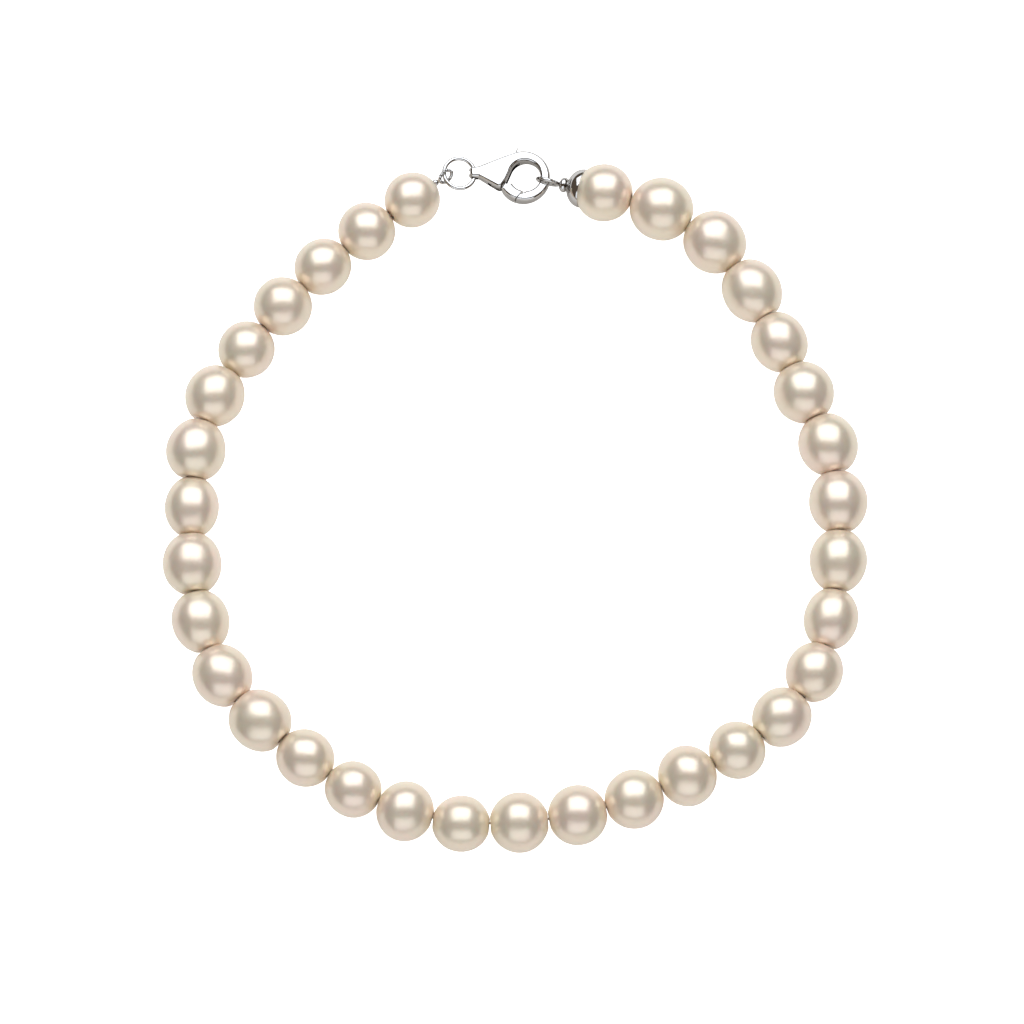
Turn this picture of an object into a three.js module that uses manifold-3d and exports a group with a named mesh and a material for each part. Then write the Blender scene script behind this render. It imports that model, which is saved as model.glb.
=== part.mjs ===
// A string of pearls for the wrist, closed by a trigger clasp and lying in a loop on a surface.
// Millimetres, +Z up, +Y towards the clasp. The surface is z = 0 under the middle of the loop.
import * as THREE from 'three';
import { mergeVertices } from 'three/addons/utils/BufferGeometryUtils.js';
import Module from 'manifold-3d';

const wasm = await Module();
wasm.setup();

const deg = Math.PI / 180;

// The loop that the string lies in: a circle with a few gentle lobes, and its first pearl's place.
const loopRadius = 31.9;
const lobes = [
  { count: 2, swell: 0.36, towards: 66 },
  { count: 3, swell: 1.02, towards: -34.7 },
  { count: 4, swell: 0.37, towards: -22 },
];
const firstPearlAngle = 108.45;

// Pearls in their order on the thread, from the jump ring round to the end cap.
// across: diameter. along: length on the thread. out: how far it lies off the loop, outwards.
const pearls = [
  { across: 5.5, along: 5.5, out: 0.6 },
  { across: 5.7, along: 5.5, out: 0.0 },
  { across: 5.5, along: 5.6, out: -0.2 },
  { across: 5.8, along: 5.6, out: -0.3 },
  { across: 5.5, along: 5.5, out: -0.1 },
  { across: 5.8, along: 5.6, out: 0.3 },
  { across: 5.9, along: 5.7, out: 0.2 },
  { across: 5.3, along: 5.6, out: -0.3 },
  { across: 5.8, along: 5.7, out: -0.2 },
  { across: 5.6, along: 5.7, out: 0.2 },
  { across: 5.7, along: 5.7, out: 0.4 },
  { across: 5.9, along: 5.7, out: -0.1 },
  { across: 5.5, along: 5.6, out: -0.4 },
  { across: 5.4, along: 5.4, out: -0.2 },
  { across: 5.8, along: 5.4, out: 0.1 },
  { across: 5.4, along: 5.5, out: 0.3 },
  { across: 5.8, along: 5.6, out: 0.1 },
  { across: 5.8, along: 5.6, out: 0.0 },
  { across: 5.7, along: 5.6, out: -0.2 },
  { across: 5.9, along: 5.5, out: -0.4 },
  { across: 5.6, along: 5.3, out: -0.1 },
  { across: 5.6, along: 5.4, out: 0.4 },
  { across: 5.5, along: 5.4, out: 0.4 },
  { across: 5.3, along: 5.6, out: -0.1 },
  { across: 5.6, along: 5.8, out: -0.3 },
  { across: 5.7, along: 5.8, out: 0.0 },
  { across: 5.8, along: 5.7, out: 0.3 },
  { across: 5.9, along: 5.6, out: -0.2 },
  { across: 5.5, along: 5.6, out: -0.2 },
  { across: 5.8, along: 5.9, out: 0.2 },
  { across: 6.1, along: 6.2, out: 0.6 },
  { across: 6.2, along: 6.2, out: 0.0 },
  { across: 5.7, along: 5.6, out: -0.7 },
];
const pearlGap = 0.05;
const drillRadius = 0.42;
const endDrillRadius = 0.56;
const pearlSides = 16;
const pearlArcs = 8;

// Silk thread.
const threadRadius = 0.14;
const threadStepsPerPearl = 3;
const threadPastLastPearl = 0.2;

// Bell cap on the last pearl: lengths along its axis from the pearl's centre.
const cap = {
  heading: 164.4,
  dip: 13.3,
  rimAt: 2.25,
  rimRadius: 1.93,
  domeRise: 1.6,
  domeEndsAt: 74,
  wall: 0.2,
  hollowRise: 0.95,
  neckBeadAt: 4.2,
  neckBeadRadius: 0.76,
  neckBeadHalfLength: 0.5,
  neckBeadStartsAt: -50,
  eyeAt: 5.9,
  eyeRadius: 1.04,
  eyeStretch: 1.2,
  eyeWire: 0.2,
};

// Trigger clasp, drawn flat: +x from the neck to the hook, z = 0 in its middle plane,
// origin at the middle of the hook.
const clasp = {
  pitch: 3,
  eyeMeetsHookAt: -12,
  slackInEye: 0.3,
  middleHeight: 1.38,
  outerRadius: 2.62,
  holeRadius: 1.5,
  holeShift: 0.15,
  bevel: 0.3,
  halfThickness: 1.05,
  hookTipHalfThickness: 0.55,
  neckHalfThickness: 0.66,
  neckEyeX: -4.92,
  neckEyeY: 0.55,
  neckEyeRadius: 0.38,
  neckEnd: -5.5,
};

// The lever turns on a rivet inside a slot of the clasp's body.
const lever = {
  pivotX: -2.8,
  pivotY: -0.3,
  plate: 0.7,
  slotHeight: 0.9,
  slotFrom: -3.6,
  slotTo: -0.42,
  slotBottom: -1.42,
  bossRadius: 0.58,
  armFrom: 212,
  rootX: -1.75,
  rootY: -1.15,
  jointX: -0.42,
  jointY: -1.98,
  jointSlant: 50,
  jointGap: 0.12,
};
const pin = { radius: 0.26, halfLength: 0.92, bodyHole: 0.31, leverHole: 0.34 };

// Jump ring and the wound-wire loop that ties the thread to it.
const jumpRing = { heading: 183.7, pitch: 9, radius: 1.54, wire: 0.215 };
const crimp = { dip: 14, aside: 7, at: 3.12, radius: 0.34, hole: 0.2 };
const wireLoop = {
  meetsRingAt: 197,
  nearAt: 0.57,
  farAt: 2.12,
  halfWidth: 0.62,
  wire: 0.2,
  lean: 35,
};

const pearlFinish = { color: 0xe9dfd0, roughness: 0.22, metalness: 0.0 };
const threadFinish = { color: 0xefe4d2, roughness: 0.8, metalness: 0.0 };
const silverFinish = { color: 0xdcdad6, roughness: 0.14, metalness: 1.0 };

function mesh(name, geometry, finish) {
  const piece = new THREE.Mesh(geometry, new THREE.MeshStandardMaterial(finish));
  piece.name = name;
  return piece;
}

// Geometry with its shared corners merged, which is what a solid needs.
function merged(geometry) {
  const plain = geometry.clone();
  plain.deleteAttribute('normal');
  plain.deleteAttribute('uv');
  return mergeVertices(plain, 1e-5);
}

function toSolid(geometry) {
  const plain = merged(geometry);
  const triVerts = new Uint32Array(plain.index.array);
  const vertProperties = new Float32Array(plain.attributes.position.array);
  return new wasm.Manifold(new wasm.Mesh({ numProp: 3, vertProperties, triVerts }));
}

function toGeometry(solid) {
  const { vertProperties, triVerts } = solid.getMesh();
  const geometry = new THREE.BufferGeometry();
  geometry.setAttribute('position', new THREE.BufferAttribute(vertProperties, 3));
  geometry.setIndex(new THREE.BufferAttribute(triVerts, 1));
  geometry.computeVertexNormals();
  return geometry;
}

// Unit vector at a heading from +X and a dip below the horizontal, in degrees.
function direction(heading, dip = 0) {
  const level = Math.cos(dip * deg);
  const x = level * Math.cos(heading * deg);
  const y = level * Math.sin(heading * deg);
  return new THREE.Vector3(x, y, -Math.sin(dip * deg));
}

function headingOf(vector) {
  return Math.atan2(vector.y, vector.x) / deg;
}

// Turns a piece so that its own +Y axis points along a direction.
function pointAlong(piece, axis) {
  piece.quaternion.setFromUnitVectors(new THREE.Vector3(0, 1, 0), axis.clone().normalize());
}

// ---- the route of the string ----

function loopPoint(angle, pearl) {
  let radius = loopRadius + pearl.out;
  for (const lobe of lobes) {
    radius += lobe.swell * Math.cos(lobe.count * (angle - lobe.towards) * deg);
  }
  const x = radius * Math.cos(angle * deg);
  const y = radius * Math.sin(angle * deg);
  return new THREE.Vector3(x, y, pearl.across / 2);
}

// The place on the loop at which a pearl just clears the one before it.
function nextPlace(place, before, pearl, angle) {
  const spacing = (before.along + pearl.along) / 2 + pearlGap;
  let low = angle;
  let high = angle + 20;
  for (let step = 0; step < 40; step += 1) {
    const middle = (low + high) / 2;
    const near = loopPoint(middle, pearl).distanceTo(place) < spacing;
    low = near ? middle : low;
    high = near ? high : middle;
  }
  return low;
}

function pearlPlaces() {
  const places = [loopPoint(firstPearlAngle, pearls[0])];
  let angle = firstPearlAngle;
  for (let i = 1; i < pearls.length; i += 1) {
    angle = nextPlace(places[i - 1], pearls[i - 1], pearls[i], angle);
    places.push(loopPoint(angle, pearls[i]));
  }
  return places;
}

// ---- pearls and thread ----

// A spheroid turned about its drill hole; the profile closes on itself along the hole's wall.
function drilledBead(across, along, hole, arcs) {
  const from = Math.asin(hole / (across / 2));
  const profile = [];
  for (let i = 0; i <= arcs; i += 1) {
    const turn = Math.PI - from - (Math.PI - 2 * from) * (i / arcs);
    profile.push(new THREE.Vector2((across / 2) * Math.sin(turn), (along / 2) * Math.cos(turn)));
  }
  profile.push(profile[0].clone());
  return merged(new THREE.LatheGeometry(profile, pearlSides));
}

function makePearls(places, axes) {
  return pearls.map((pearl, i) => {
    const last = pearls.length - 1;
    const hole = i === 0 || i === last ? endDrillRadius : drillRadius;
    const geometry = drilledBead(pearl.across, pearl.along, hole, pearlArcs);
    const number = String(i + 1).padStart(2, '0');
    const piece = mesh(`pearl_${number}`, geometry, pearlFinish);
    pointAlong(piece, axes[i]);
    piece.position.copy(places[i]);
    return piece;
  });
}

function makeThread(route) {
  const section = new THREE.Shape();
  section.absarc(0, 0, threadRadius, 0, 2 * Math.PI, false);
  const geometry = new THREE.ExtrudeGeometry(section, {
    curveSegments: 3,
    steps: route.length * threadStepsPerPearl,
    bevelEnabled: false,
    extrudePath: new THREE.CatmullRomCurve3(route, false, 'centripetal'),
  });
  return mesh('thread', merged(geometry), threadFinish);
}

// ---- end cap: bell, neck bead and eye soldered into one ----

function bellProfile() {
  const profile = [];
  const inner = cap.rimRadius - cap.wall;
  for (let i = 0; i <= 6; i += 1) {
    const turn = (i / 6) * 90 * deg;
    const y = cap.rimAt + cap.hollowRise * Math.cos(turn);
    profile.push(new THREE.Vector2(inner * Math.sin(turn), y));
  }
  for (let i = 0; i <= 6; i += 1) {
    const turn = (i / 6) * cap.domeEndsAt * deg;
    const y = cap.rimAt + cap.domeRise * Math.sin(turn);
    profile.push(new THREE.Vector2(cap.rimRadius * Math.cos(turn), y));
  }
  for (let i = 1; i <= 7; i += 1) {
    const turn = (cap.neckBeadStartsAt + (i / 7) * (90 - cap.neckBeadStartsAt)) * deg;
    const y = cap.neckBeadAt + cap.neckBeadHalfLength * Math.sin(turn);
    profile.push(new THREE.Vector2(cap.neckBeadRadius * Math.cos(turn), y));
  }
  profile[0].x = 0;
  profile[profile.length - 1].x = 0;
  return profile;
}

function makeEndCap(place, axis) {
  const bell = toSolid(new THREE.LatheGeometry(bellProfile(), 28));
  const ring = new THREE.TorusGeometry(cap.eyeRadius, cap.eyeWire, 10, 28);
  ring.scale(cap.eyeStretch, 1, 1);
  ring.rotateY(90 * deg);
  ring.translate(0, cap.eyeAt, 0);
  const piece = mesh('end_cap', toGeometry(bell.add(toSolid(ring))), silverFinish);
  // Own +Y runs along the cap, and own +Z is kept as upright as the dip allows.
  const side = new THREE.Vector3(0, 0, 1).cross(axis).normalize().negate();
  const upright = side.clone().cross(axis);
  piece.quaternion.setFromRotationMatrix(new THREE.Matrix4().makeBasis(side, axis, upright));
  piece.position.copy(place);
  return piece;
}

// ---- clasp ----

// Half of the clasp's thickness along its length: thin at the neck and at the hook's far side.
function halfThickness(x) {
  const smooth = THREE.MathUtils.smoothstep;
  if (x < clasp.neckEyeX) {
    const past = Math.min(clasp.neckEyeX - x, clasp.neckHalfThickness * 0.88);
    return Math.sqrt(clasp.neckHalfThickness ** 2 - past ** 2);
  }
  const rise = clasp.halfThickness - clasp.neckHalfThickness;
  const fall = clasp.halfThickness - clasp.hookTipHalfThickness;
  const towardsBody = clasp.neckHalfThickness + rise * smooth(x, clasp.neckEyeX, -2.6);
  return towardsBody - fall * THREE.MathUtils.clamp((x + 1.2) / 3.8, 0, 1);
}

// Extrudes a flat outline to the clasp's thickness with rounded edges.
function claspBar(outline, segments) {
  const depth = 2 * clasp.halfThickness;
  const geometry = new THREE.ExtrudeGeometry(outline, {
    curveSegments: segments,
    depth: depth * 0.3,
    bevelEnabled: true,
    bevelThickness: depth * 0.35,
    bevelSize: clasp.bevel,
    bevelOffset: -clasp.bevel,
    bevelSegments: 3,
  });
  geometry.translate(0, 0, -depth * 0.15);
  const position = geometry.attributes.position;
  for (let i = 0; i < position.count; i += 1) {
    const scale = halfThickness(position.getX(i)) / clasp.halfThickness;
    position.setZ(i, position.getZ(i) * scale);
  }
  return toSolid(geometry);
}

function onCircle(centreX, radius, angle) {
  return [centreX + radius * Math.cos(angle * deg), radius * Math.sin(angle * deg)];
}

function bodyOutline() {
  const neckCorner = 0.25;
  const shape = new THREE.Shape();
  shape.moveTo(clasp.neckEnd + neckCorner, 0.02);
  shape.lineTo(-4.5, -0.04);
  shape.lineTo(-2.75, -1.12);
  shape.quadraticCurveTo(-2.25, -1.4, -2.0, -0.95);
  shape.lineTo(-1.7, -0.5);
  shape.lineTo(...onCircle(clasp.holeShift, clasp.holeRadius, 152));
  shape.absarc(clasp.holeShift, 0, clasp.holeRadius, 152 * deg, -86 * deg, true);
  shape.absarc(0, 0, clasp.outerRadius, -112 * deg, 112 * deg, false);
  shape.lineTo(-4.5, 1.18);
  shape.lineTo(clasp.neckEnd + neckCorner, 1.08);
  shape.lineTo(clasp.neckEnd, 1.08 - neckCorner);
  shape.lineTo(clasp.neckEnd, 0.02 + neckCorner);
  return shape;
}

// A block that lies on the lever's side of the slanted joint at the hook's tip.
function jointBlock(gap) {
  const block = new THREE.BoxGeometry(3, 3, 4);
  block.translate(0, 1.5 + gap / 2, 0);
  block.rotateZ(lever.jointSlant * deg);
  block.translate(lever.jointX, lever.jointY, 0);
  return toSolid(block);
}

function pinHole(radius) {
  const hole = new THREE.CylinderGeometry(radius, radius, 4, 16);
  hole.rotateX(90 * deg);
  hole.translate(lever.pivotX, lever.pivotY, 0);
  return toSolid(hole);
}

function leverSlot() {
  const length = lever.slotTo - lever.slotFrom;
  const slot = new THREE.BoxGeometry(length, 6, lever.slotHeight);
  slot.translate(lever.slotFrom + length / 2, lever.slotBottom + 3, 0);
  return toSolid(slot);
}

function neckEye() {
  const hole = new THREE.CylinderGeometry(clasp.neckEyeRadius, clasp.neckEyeRadius, 3, 16);
  hole.translate(clasp.neckEyeX, clasp.neckEyeY, 0);
  return toSolid(hole);
}

// The hook's tip is cut along the joint, only below the hook's middle.
function makeClaspBody() {
  const tipCut = jointBlock(-lever.jointGap);
  const lower = toSolid(new THREE.BoxGeometry(1.6, 1.6, 4).translate(-0.6, -2.25, 0));
  const body = claspBar(bodyOutline(), 10)
    .subtract(leverSlot())
    .subtract(pinHole(pin.bodyHole))
    .subtract(neckEye())
    .subtract(tipCut.intersect(lower));
  return mesh('clasp_body', toGeometry(body), silverFinish);
}

// The arm continues the hook's ring; this stretch of the ring is longer than the arm at both ends.
function armOutline() {
  const from = 170 * deg;
  const to = 300 * deg;
  const shape = new THREE.Shape();
  shape.absarc(0, 0, clasp.outerRadius, from, to, false);
  shape.absarc(clasp.holeShift, 0, clasp.holeRadius, to, from, true);
  return shape;
}

// Keeps what lies beyond the arm's root, seen from the body.
function rootBlock() {
  const block = new THREE.BoxGeometry(6, 6, 4);
  block.translate(0, -3, 0);
  block.rotateZ(lever.armFrom * deg - Math.PI);
  block.translate(lever.rootX, lever.rootY, 0);
  return toSolid(block);
}

function leverPlateOutline() {
  const { pivotX, pivotY, bossRadius } = lever;
  const shape = new THREE.Shape();
  shape.absarc(pivotX, pivotY, bossRadius, 150 * deg, 285 * deg, false);
  shape.lineTo(-1.95, -1.35);
  shape.lineTo(-1.35, -1.25);
  shape.lineTo(-1.55, -0.85);
  shape.lineTo(-2.2, -0.2);
  shape.lineTo(-0.78, 2.45);
  shape.lineTo(-0.62, 3.0);
  shape.quadraticCurveTo(-0.62, 3.35, -1.0, 3.35);
  shape.quadraticCurveTo(-1.35, 3.3, -1.55, 2.85);
  return shape;
}

function makeClaspLever() {
  const plate = new THREE.ExtrudeGeometry(leverPlateOutline(), {
    curveSegments: 4,
    depth: lever.plate,
    bevelEnabled: false,
  });
  plate.translate(0, 0, -lever.plate / 2);
  const arm = claspBar(armOutline(), 4)
    .intersect(jointBlock(lever.jointGap))
    .intersect(rootBlock());
  const solid = toSolid(plate).add(arm).subtract(pinHole(pin.leverHole));
  return mesh('clasp_lever', toGeometry(solid), silverFinish);
}

function makeClaspPin() {
  const geometry = new THREE.CylinderGeometry(pin.radius, pin.radius, 2 * pin.halfLength, 16);
  geometry.rotateX(90 * deg);
  geometry.translate(lever.pivotX, lever.pivotY, 0);
  return mesh('clasp_pin', merged(geometry), silverFinish);
}

// The clasp's hook hangs in the cap's eye and its neck lies a little lower.
function makeClasp(eye) {
  const group = new THREE.Group();
  group.add(makeClaspBody(), makeClaspLever(), makeClaspPin());
  const middle = (clasp.outerRadius + clasp.holeRadius + clasp.holeShift) / 2;
  const meet = direction(clasp.eyeMeetsHookAt).multiplyScalar(middle);
  group.rotation.y = -clasp.pitch * deg;
  group.position.set(eye.x - meet.x - clasp.slackInEye, eye.y - meet.y, clasp.middleHeight);
  group.updateMatrixWorld(true);
  return group;
}

// ---- jump ring, crimp bead and wire loop ----

function makeJumpRing(neck) {
  const geometry = new THREE.TorusGeometry(jumpRing.radius, jumpRing.wire, 10, 30);
  const piece = mesh('jump_ring', merged(geometry), silverFinish);
  const outwards = direction(jumpRing.heading, -jumpRing.pitch);
  const side = new THREE.Vector3(0, 0, 1).cross(outwards).normalize();
  const upright = outwards.clone().cross(side);
  piece.quaternion.setFromRotationMatrix(new THREE.Matrix4().makeBasis(outwards, side, upright));
  piece.position.copy(neck).addScaledVector(outwards, jumpRing.radius);
  piece.updateMatrixWorld(true);
  return piece;
}

function makeCrimpBead(place, axis) {
  const geometry = drilledBead(2 * crimp.radius, 2 * crimp.radius, crimp.hole, 6);
  const piece = mesh('crimp_bead', geometry, silverFinish);
  pointAlong(piece, axis);
  piece.position.copy(place);
  return piece;
}

// A closed loop of wound wire from the crimp bead round the ring's wire, leaning to one side.
function makeWireLoop(bead, ringWire) {
  const axis = ringWire.clone().sub(bead).normalize();
  const halfLength = (wireLoop.farAt - wireLoop.nearAt) / 2;
  const radius = (halfLength + wireLoop.halfWidth) / 2;
  const geometry = new THREE.TorusGeometry(radius, wireLoop.wire, 8, 24);
  geometry.scale(halfLength / radius, wireLoop.halfWidth / radius, 1);
  const piece = mesh('wire_loop', merged(geometry), silverFinish);
  const side = new THREE.Vector3(0, 0, 1).cross(axis).normalize();
  const across = axis.clone().cross(side).applyAxisAngle(axis, -wireLoop.lean * deg);
  const normal = axis.clone().cross(across);
  piece.quaternion.setFromRotationMatrix(new THREE.Matrix4().makeBasis(axis, across, normal));
  piece.position.copy(bead).addScaledVector(axis, wireLoop.nearAt + halfLength);
  return piece;
}

// ---- the whole bracelet ----

function build() {
  const places = pearlPlaces();
  const last = places.length - 1;
  const capAxis = direction(cap.heading, cap.dip);
  const eye = places[last].clone().addScaledVector(capAxis, cap.eyeAt);
  const claspGroup = makeClasp(eye);
  const neck = claspGroup.localToWorld(new THREE.Vector3(clasp.neckEyeX, clasp.neckEyeY, 0));
  const ring = makeJumpRing(neck);

  const towardsRing = headingOf(ring.position.clone().sub(places[0]));
  const crimpAxis = direction(towardsRing + crimp.aside, crimp.dip);
  const bead = places[0].clone().addScaledVector(crimpAxis, crimp.at);
  const turn = (wireLoop.meetsRingAt - jumpRing.heading) * deg;
  const onRing = new THREE.Vector3(Math.cos(turn), Math.sin(turn), 0);
  const ringWire = ring.localToWorld(onRing.multiplyScalar(jumpRing.radius));

  const start = bead.clone().addScaledVector(crimpAxis, crimp.radius);
  const end = places[last].clone().addScaledVector(capAxis, pearls[last].along / 2 + threadPastLastPearl);
  const route = [start, ...places, end];
  const axes = places.map((place, i) => route[i + 2].clone().sub(route[i]));

  const bracelet = new THREE.Group();
  bracelet.add(...makePearls(places, axes));
  bracelet.add(makeThread(route));
  bracelet.add(makeEndCap(places[last], capAxis));
  bracelet.add(claspGroup);
  bracelet.add(ring);
  bracelet.add(makeCrimpBead(bead, crimpAxis));
  bracelet.add(makeWireLoop(bead, ringWire));
  return bracelet;
}

// Moves the whole so that the middle of its outer box stands over the origin.
function centre(bracelet) {
  const middle = new THREE.Box3().setFromObject(bracelet, true).getCenter(new THREE.Vector3());
  bracelet.position.set(-middle.x, -middle.y, 0);
  bracelet.updateMatrixWorld(true);
  return bracelet;
}

export default centre(build());
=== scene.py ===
# A strand of cultured pearls for the wrist, closed by a silver trigger clasp, on a light table.
import math

import bmesh
import bpy
import numpy as np
from mathutils import Matrix, Vector


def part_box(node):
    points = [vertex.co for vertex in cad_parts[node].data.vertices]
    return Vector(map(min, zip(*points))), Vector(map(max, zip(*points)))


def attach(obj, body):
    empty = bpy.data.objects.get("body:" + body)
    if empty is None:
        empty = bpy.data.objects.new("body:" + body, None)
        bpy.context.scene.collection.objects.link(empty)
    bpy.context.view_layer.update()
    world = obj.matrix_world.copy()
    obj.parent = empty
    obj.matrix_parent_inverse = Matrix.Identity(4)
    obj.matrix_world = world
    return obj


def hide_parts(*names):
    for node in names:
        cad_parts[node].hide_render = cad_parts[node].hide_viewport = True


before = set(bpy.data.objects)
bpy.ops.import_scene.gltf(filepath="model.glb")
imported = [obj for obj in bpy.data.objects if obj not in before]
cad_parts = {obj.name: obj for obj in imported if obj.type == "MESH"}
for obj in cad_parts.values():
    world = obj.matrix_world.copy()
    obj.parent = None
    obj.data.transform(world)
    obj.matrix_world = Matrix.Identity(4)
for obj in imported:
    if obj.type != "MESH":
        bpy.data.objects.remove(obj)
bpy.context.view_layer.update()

MM = 0.001
DEG = math.pi / 180


def mm(*values):
    """A point given in millimetres, as metres."""
    return Vector(values) * MM


# ---------------------------------------------------------------- camera

LENS = 150
SENSOR = 36
ELEVATION = 78 * DEG
STAND_OFF = 416 * MM
AIM = mm(-0.34, -2.12, 2.75)


def make_camera():
    data = bpy.data.cameras.new("camera")
    data.lens = LENS
    data.sensor_width = SENSOR
    data.clip_start = 0.01
    data.clip_end = 20
    camera = bpy.data.objects.new("camera", data)
    bpy.context.collection.objects.link(camera)
    back = Vector((0, -math.cos(ELEVATION), math.sin(ELEVATION)))
    camera.location = AIM + back * STAND_OFF
    camera.rotation_euler = (-back).to_track_quat("-Z", "Y").to_euler()
    bpy.context.scene.camera = camera


make_camera()

# ---------------------------------------------------------------- node helpers


def put(tree, kind, inputs=None, **settings):
    """Adds a node, applies its settings, then links or fills its inputs."""
    node = tree.nodes.new(kind)
    for key, value in settings.items():
        setattr(node, key, value)
    for key, value in (inputs or {}).items():
        if isinstance(value, bpy.types.NodeSocket):
            tree.links.new(value, node.inputs[key])
        else:
            node.inputs[key].default_value = value
    return node


def maths(tree, operation, first, second=0.0, third=0.0):
    inputs = {0: first, 1: second, 2: third}
    return put(tree, "ShaderNodeMath", inputs, operation=operation).outputs[0]


def vectors(tree, operation, first, second=(0.0, 0.0, 0.0), scale=None):
    inputs = {0: first, 1: second}
    if scale is not None:
        inputs["Scale"] = scale
    node = put(tree, "ShaderNodeVectorMath", inputs, operation=operation)
    return node.outputs["Value" if operation == "DOT_PRODUCT" else "Vector"]


def mixed(tree, share, first, second):
    """A colour between two others."""
    inputs = {0: share, 6: first, 7: second}
    return put(tree, "ShaderNodeMix", inputs, data_type="RGBA").outputs[2]


def ranged(tree, value, low, high, to_low=0.0, to_high=1.0, interpolation="SMOOTHSTEP"):
    """A value's place between two others, eased at both ends unless it is LINEAR."""
    inputs = {
        "Value": value,
        "From Min": low,
        "From Max": high,
        "To Min": to_low,
        "To Max": to_high,
    }
    return put(tree, "ShaderNodeMapRange", inputs, interpolation_type=interpolation).outputs[0]


def new_group(name, kind, inputs, outputs):
    """A node group with named sockets, and the two nodes at its ends."""
    tree = bpy.data.node_groups.new(name, kind)
    for label, socket, value in inputs:
        made = tree.interface.new_socket(label, in_out="INPUT", socket_type=socket)
        if value is not None:
            made.default_value = value
    for label, socket in outputs:
        tree.interface.new_socket(label, in_out="OUTPUT", socket_type=socket)
    return tree, tree.nodes.new("NodeGroupInput"), tree.nodes.new("NodeGroupOutput")


def socket_id(tree, label):
    for item in tree.interface.items_tree:
        if item.in_out == "INPUT" and item.name == label:
            return item.identifier
    raise KeyError(label)


def with_modifier(mesh, kind, settings, inputs=None):
    """The plain mesh that one modifier makes of a mesh."""
    source = bpy.data.objects.new("source", mesh)
    bpy.context.collection.objects.link(source)
    modifier = source.modifiers.new("rule", kind)
    for key, value in settings.items():
        setattr(modifier, key, value)
    for key, value in (inputs or {}).items():
        modifier[key] = value
    depsgraph = bpy.context.evaluated_depsgraph_get()
    made = bpy.data.meshes.new_from_object(source.evaluated_get(depsgraph))
    source.modifiers.remove(modifier)
    bpy.data.objects.remove(source)
    return made


def grown(tree, mesh, values):
    """The plain mesh that a Geometry Nodes tree makes from a mesh and named inputs."""
    inputs = {socket_id(tree, label): value for label, value in values.items()}
    return with_modifier(mesh, "NODES", {"node_group": tree}, inputs)


def end_in_material(tree, geometry, material, result):
    """The last two nodes of every shape's tree."""
    real = put(tree, "GeometryNodeRealizeInstances", {"Geometry": geometry})
    inputs = {"Geometry": real.outputs[0], "Material": material}
    coated = put(tree, "GeometryNodeSetMaterial", inputs)
    tree.links.new(coated.outputs[0], result.inputs["Geometry"])


# ---------------------------------------------------------------- shared surface effects

FLOAT, COLOUR, VECTOR = "NodeSocketFloat", "NodeSocketColor", "NodeSocketVector"


def object_place(tree):
    return put(tree, "ShaderNodeTexCoord").outputs["Object"]


def make_overtone():
    """Soft drifts of rose and green over a body colour, a little different on every pearl."""
    tree, source, result = new_group(
        "overtone",
        "ShaderNodeTree",
        [
            ("Place", VECTOR, None),
            ("Body", COLOUR, (0.8, 0.7, 0.6, 1)),
            ("Rose", COLOUR, (0.8, 0.6, 0.6, 1)),
            ("Green", COLOUR, (0.7, 0.75, 0.6, 1)),
            ("Drift", FLOAT, 300.0),
            ("Amount", FLOAT, 0.5),
        ],
        [("Color", COLOUR)],
    )
    colour = source.outputs["Body"]
    for offset, tint in (((0.3, 0.1, 0.7), "Rose"), ((0.9, 0.5, 0.2), "Green")):
        place = vectors(tree, "ADD", source.outputs["Place"], offset)
        noise = put(
            tree,
            "ShaderNodeTexNoise",
            {"Vector": place, "Scale": source.outputs["Drift"], "Detail": 2.0, "Roughness": 0.4},
        )
        mask = ranged(tree, noise.outputs["Fac"], 0.42, 0.66)
        mask = maths(tree, "MULTIPLY", mask, source.outputs["Amount"])
        colour = mixed(tree, mask, colour, source.outputs[tint])
    tree.links.new(colour, result.inputs["Color"])
    return tree


def make_grain():
    """Fine unevenness at two scales, as a height."""
    tree, source, result = new_group(
        "grain",
        "ShaderNodeTree",
        [("Place", VECTOR, None), ("Coarse", FLOAT, 500.0), ("Fine", FLOAT, 4000.0)],
        [("Height", FLOAT)],
    )
    parts = []
    for label, weight in (("Coarse", 0.8), ("Fine", 0.2)):
        noise = put(
            tree,
            "ShaderNodeTexNoise",
            {"Vector": source.outputs["Place"], "Scale": source.outputs[label], "Detail": 3.0},
        )
        parts.append(maths(tree, "MULTIPLY", noise.outputs["Fac"], weight))
    tree.links.new(maths(tree, "ADD", *parts), result.inputs["Height"])
    return tree


def make_hairlines():
    """Polishing hairlines: noise drawn out along one direction, as a mask."""
    tree, source, result = new_group(
        "hairlines",
        "ShaderNodeTree",
        [("Place", VECTOR, None), ("Turn", FLOAT, 0.4), ("Density", FLOAT, 9000.0)],
        [("Mask", FLOAT)],
    )
    turned = put(
        tree,
        "ShaderNodeVectorRotate",
        {"Vector": source.outputs["Place"], "Angle": source.outputs["Turn"]},
    ).outputs[0]
    drawn = vectors(tree, "MULTIPLY", turned, (0.05, 1.0, 1.0))
    noise = put(
        tree,
        "ShaderNodeTexNoise",
        {"Vector": drawn, "Scale": source.outputs["Density"], "Detail": 2.0},
    )
    mask = ranged(tree, noise.outputs["Fac"], 0.56, 0.72, interpolation="LINEAR")
    tree.links.new(mask, result.inputs["Mask"])
    return tree


OVERTONE = make_overtone()
GRAIN = make_grain()
HAIRLINES = make_hairlines()


def new_material(name):
    material = bpy.data.materials.new(name)
    material.use_nodes = True
    return material, material.node_tree, material.node_tree.nodes["Principled BSDF"]


def use_group(tree, group, inputs):
    return put(tree, "ShaderNodeGroup", inputs, node_tree=group)


def set_plain(shader, values):
    for key, value in values.items():
        shader.inputs[key].default_value = value


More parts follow.
